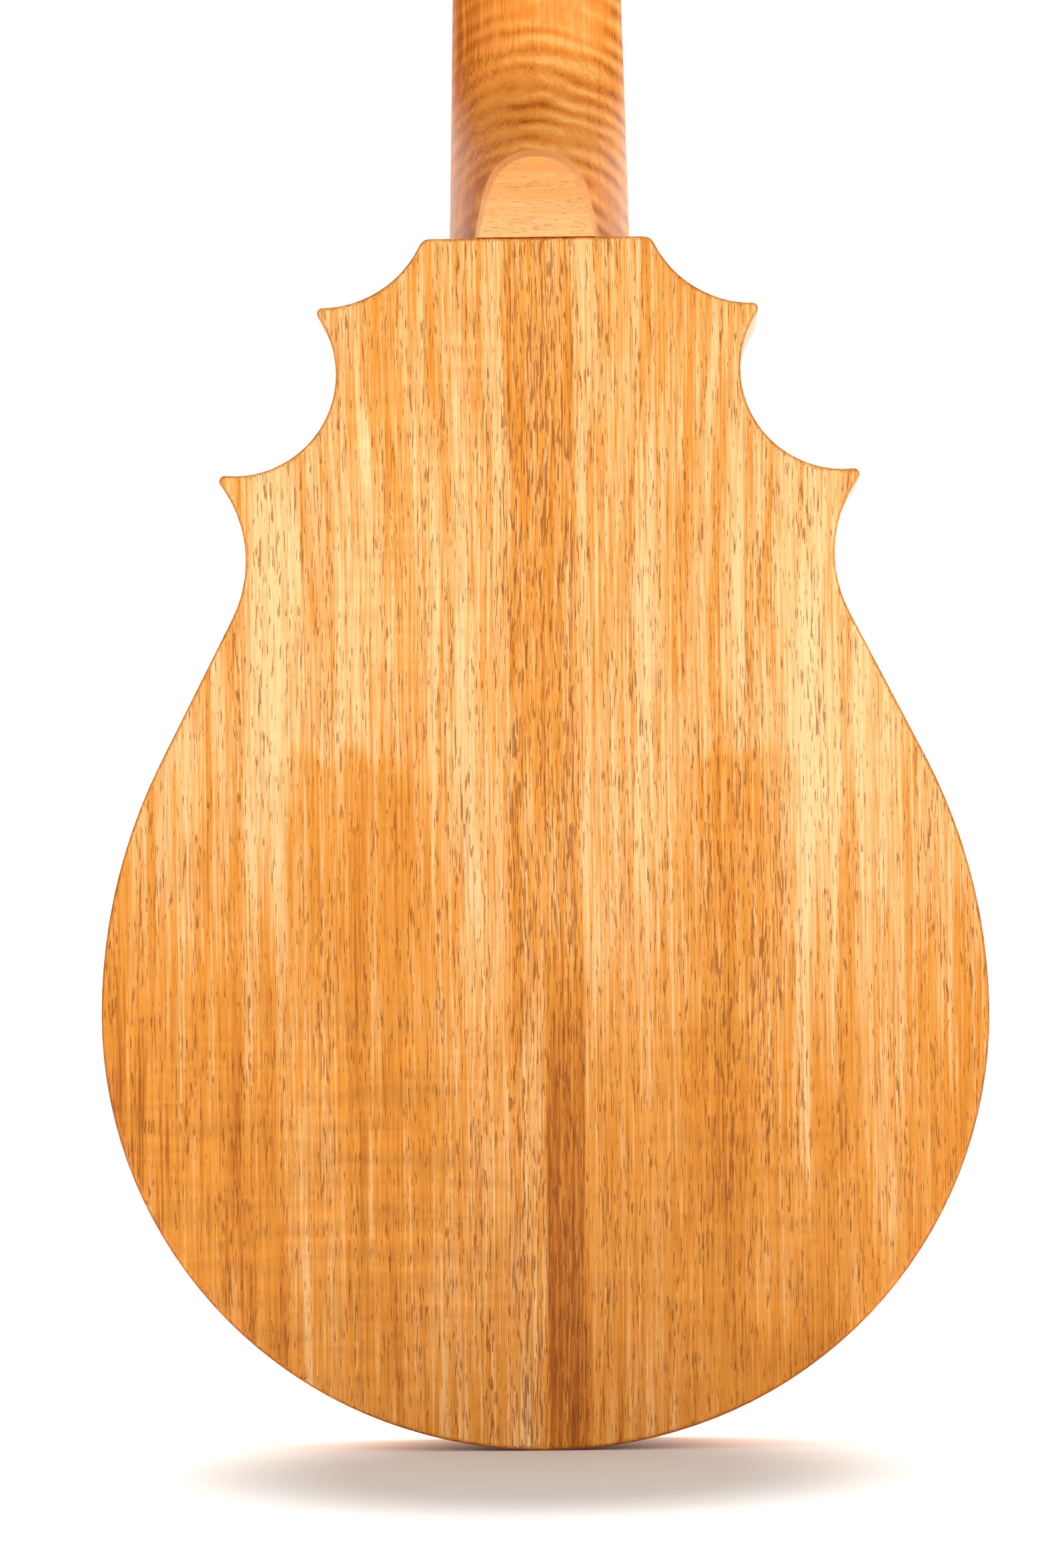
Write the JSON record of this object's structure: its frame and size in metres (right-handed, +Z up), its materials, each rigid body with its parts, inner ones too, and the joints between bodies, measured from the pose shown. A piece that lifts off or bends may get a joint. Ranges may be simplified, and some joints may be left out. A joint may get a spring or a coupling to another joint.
{
  "type": "mandolin",
  "caption": "Flat-top mandolin with a pear-shaped, two-horned body, a flat book-matched back, paired strings over a floating bridge, and geared tuning machines.",
  "frame": {"origin": "lowest point of the body's rim, on the centre line, midway between back and soundboard", "axes": "+Z up the body's centre line towards the neck, +Y out of the soundboard, -Y out of the back, +X to the right when the back is looked at"},
  "size_m": [0.2158, 0.0729, 0.6],
  "materials": {
    "back_wood": "gloss, straight-grained golden brown",
    "rib_wood": "gloss, straight-grained golden brown",
    "soundboard": "gloss, fine straight grain",
    "brace_spruce": "bare, planed",
    "inner_mahogany": "bare, sanded",
    "rosette_inlay": "gloss rings",
    "neck_wood": "satin, figured golden brown",
    "heel_cap_wood": "satin, pale",
    "ebony": "oiled",
    "black_plate": "gloss",
    "fret_wire": "polished",
    "pearl": "gloss",
    "bone": "satin",
    "bronze_wire": "wound",
    "steel_wire": "drawn",
    "steel_rod": "plain",
    "brass_parts": "machined",
    "nickel_sheet": "plated",
    "nickel_parts": "plated",
    "tuner_button": "pearly, on a plated worm",
    "tuner_post": "plated, with a brass gear"
  },
  "bodies": {
    "instrument": {"back_braces": "brace_spruce", "back_left": "back_wood", "back_right": "back_wood", "back_seam_strip": "brace_spruce", "bridge_foot": "ebony", "bridge_studs": "brass_parts", "fret_markers": "pearl", "fretboard": "ebony", "fretboard_wedge": "ebony", "frets": "fret_wire", "headplate": "ebony", "headstock_screws": "nickel_parts", "heel_cap": "heel_cap_wood", "horn_blocks": "inner_mahogany", "linings": "inner_mahogany", "neck": "neck_wood", "neck_block": "inner_mahogany", "neck_bolts": "steel_rod", "nut": "bone", "post_bushings": "nickel_parts", "rib_bout_left": "rib_wood", "rib_bout_right": "rib_wood", "rib_horn_left": "rib_wood", "rib_horn_right": "rib_wood", "rib_neck_end": "rib_wood", "rib_shoulder_left": "rib_wood", "rib_shoulder_right": "rib_wood", "rosette": "rosette_inlay", "strings_plain": "steel_wire", "strings_wound": "bronze_wire", "tail_block": "inner_mahogany", "tailpiece": "nickel_sheet", "tailpiece_screws": "nickel_parts", "top_braces": "brace_spruce", "top_left": "soundboard", "top_right": "soundboard", "truss_rod": "steel_rod", "truss_rod_cover": "black_plate", "tuner_plates": "nickel_parts"},
    "saddle": {"bridge_saddle": "ebony"},
    "thumbwheel_left": {"thumbwheel_left": "brass_parts"},
    "thumbwheel_right": {"thumbwheel_right": "brass_parts"},
    "tailpiece_cover": {"tailpiece_cover": "nickel_sheet"},
    "truss_rod_nut": {"truss_rod_nut": "brass_parts"},
    "tuner_left_1_button": {"tuner_left_1_button": "tuner_button"},
    "tuner_left_1_post": {"tuner_left_1_post": "tuner_post"},
    "tuner_left_2_button": {"tuner_left_2_button": "tuner_button"},
    "tuner_left_2_post": {"tuner_left_2_post": "tuner_post"},
    "tuner_left_3_button": {"tuner_left_3_button": "tuner_button"},
    "tuner_left_3_post": {"tuner_left_3_post": "tuner_post"},
    "tuner_left_4_button": {"tuner_left_4_button": "tuner_button"},
    "tuner_left_4_post": {"tuner_left_4_post": "tuner_post"},
    "tuner_right_1_button": {"tuner_right_1_button": "tuner_button"},
    "tuner_right_1_post": {"tuner_right_1_post": "tuner_post"},
    "tuner_right_2_button": {"tuner_right_2_button": "tuner_button"},
    "tuner_right_2_post": {"tuner_right_2_post": "tuner_post"},
    "tuner_right_3_button": {"tuner_right_3_button": "tuner_button"},
    "tuner_right_3_post": {"tuner_right_3_post": "tuner_post"},
    "tuner_right_4_button": {"tuner_right_4_button": "tuner_button"},
    "tuner_right_4_post": {"tuner_right_4_post": "tuner_post"}
  },
  "joints": [
    {"name": "saddle_lift", "type": "slide", "parent": "instrument", "child": "saddle", "axis": [0, 1, 0], "range_m": [-0.0015, 0]},
    {"name": "thumbwheel_left_turn", "type": "hinge", "parent": "saddle", "child": "thumbwheel_left", "pos_m": [-0.028, 0.0332, 0.12057], "axis": [0, 1, 0], "range_deg": [-1080, 0]},
    {"name": "thumbwheel_right_turn", "type": "hinge", "parent": "saddle", "child": "thumbwheel_right", "pos_m": [0.028, 0.0332, 0.12057], "axis": [0, 1, 0], "range_deg": [-1080, 0]},
    {"name": "tailpiece_cover_slide", "type": "slide", "parent": "instrument", "child": "tailpiece_cover", "axis": [0, 0, -1], "range_m": [0, 0.045]},
    {"name": "truss_rod_nut_turn", "type": "hinge", "parent": "instrument", "child": "truss_rod_nut", "pos_m": [0, 0.01237, 0.47872], "axis": [0, -0.0436, 0.999], "range_deg": [-180, 360]},
    {"name": "tuner_left_1_button_turn", "type": "hinge", "parent": "instrument", "child": "tuner_left_1_button", "pos_m": [-0.025, -0.00604, 0.49477], "axis": [-1, 0, 0], "continuous": true},
    {"name": "tuner_left_1_post_turn", "type": "hinge", "parent": "instrument", "child": "tuner_left_1_post", "pos_m": [-0.0205, 0.00835, 0.50613], "axis": [0, 0.9636, 0.2672], "continuous": true},
    {"name": "tuner_left_2_button_turn", "type": "hinge", "parent": "instrument", "child": "tuner_left_2_button", "pos_m": [-0.025, -0.01218, 0.51693], "axis": [-1, 0, 0], "continuous": true},
    {"name": "tuner_left_2_post_turn", "type": "hinge", "parent": "instrument", "child": "tuner_left_2_post", "pos_m": [-0.0205, 0.0022, 0.52829], "axis": [0, 0.9636, 0.2672], "continuous": true},
    {"name": "tuner_left_3_button_turn", "type": "hinge", "parent": "instrument", "child": "tuner_left_3_button", "pos_m": [-0.025, -0.01833, 0.5391], "axis": [-1, 0, 0], "continuous": true},
    {"name": "tuner_left_3_post_turn", "type": "hinge", "parent": "instrument", "child": "tuner_left_3_post", "pos_m": [-0.0205, -0.00394, 0.55046], "axis": [0, 0.9636, 0.2672], "continuous": true},
    {"name": "tuner_left_4_button_turn", "type": "hinge", "parent": "instrument", "child": "tuner_left_4_button", "pos_m": [-0.025, -0.02448, 0.56126], "axis": [-1, 0, 0], "continuous": true},
    {"name": "tuner_left_4_post_turn", "type": "hinge", "parent": "instrument", "child": "tuner_left_4_post", "pos_m": [-0.0205, -0.01009, 0.57262], "axis": [0, 0.9636, 0.2672], "continuous": true},
    {"name": "tuner_right_1_button_turn", "type": "hinge", "parent": "instrument", "child": "tuner_right_1_button", "pos_m": [0.025, -0.00604, 0.49477], "axis": [1, 0, 0], "continuous": true},
    {"name": "tuner_right_1_post_turn", "type": "hinge", "parent": "instrument", "child": "tuner_right_1_post", "pos_m": [0.0205, 0.00835, 0.50613], "axis": [0, 0.9636, 0.2672], "continuous": true},
    {"name": "tuner_right_2_button_turn", "type": "hinge", "parent": "instrument", "child": "tuner_right_2_button", "pos_m": [0.025, -0.01218, 0.51693], "axis": [1, 0, 0], "continuous": true},
    {"name": "tuner_right_2_post_turn", "type": "hinge", "parent": "instrument", "child": "tuner_right_2_post", "pos_m": [0.0205, 0.0022, 0.52829], "axis": [0, 0.9636, 0.2672], "continuous": true},
    {"name": "tuner_right_3_button_turn", "type": "hinge", "parent": "instrument", "child": "tuner_right_3_button", "pos_m": [0.025, -0.01833, 0.5391], "axis": [1, 0, 0], "continuous": true},
    {"name": "tuner_right_3_post_turn", "type": "hinge", "parent": "instrument", "child": "tuner_right_3_post", "pos_m": [0.0205, -0.00394, 0.55046], "axis": [0, 0.9636, 0.2672], "continuous": true},
    {"name": "tuner_right_4_button_turn", "type": "hinge", "parent": "instrument", "child": "tuner_right_4_button", "pos_m": [0.025, -0.02448, 0.56126], "axis": [1, 0, 0], "continuous": true},
    {"name": "tuner_right_4_post_turn", "type": "hinge", "parent": "instrument", "child": "tuner_right_4_post", "pos_m": [0.0205, -0.01009, 0.57262], "axis": [0, 0.9636, 0.2672], "continuous": true}
  ],
  "couplings": [
    {"joint": "thumbwheel_left_turn", "follows": "saddle_lift", "rad_per_m": 12566},
    {"joint": "thumbwheel_right_turn", "follows": "saddle_lift", "rad_per_m": 12566},
    {"joint": "tuner_left_1_post_turn", "follows": "tuner_left_1_button_turn", "ratio": -0.071429},
    {"joint": "tuner_left_2_post_turn", "follows": "tuner_left_2_button_turn", "ratio": -0.071429},
    {"joint": "tuner_left_3_post_turn", "follows": "tuner_left_3_button_turn", "ratio": -0.071429},
    {"joint": "tuner_left_4_post_turn", "follows": "tuner_left_4_button_turn", "ratio": -0.071429},
    {"joint": "tuner_right_1_post_turn", "follows": "tuner_right_1_button_turn", "ratio": 0.071429},
    {"joint": "tuner_right_2_post_turn", "follows": "tuner_right_2_button_turn", "ratio": 0.071429},
    {"joint": "tuner_right_3_post_turn", "follows": "tuner_right_3_button_turn", "ratio": 0.071429},
    {"joint": "tuner_right_4_post_turn", "follows": "tuner_right_4_button_turn", "ratio": 0.071429}
  ]
}
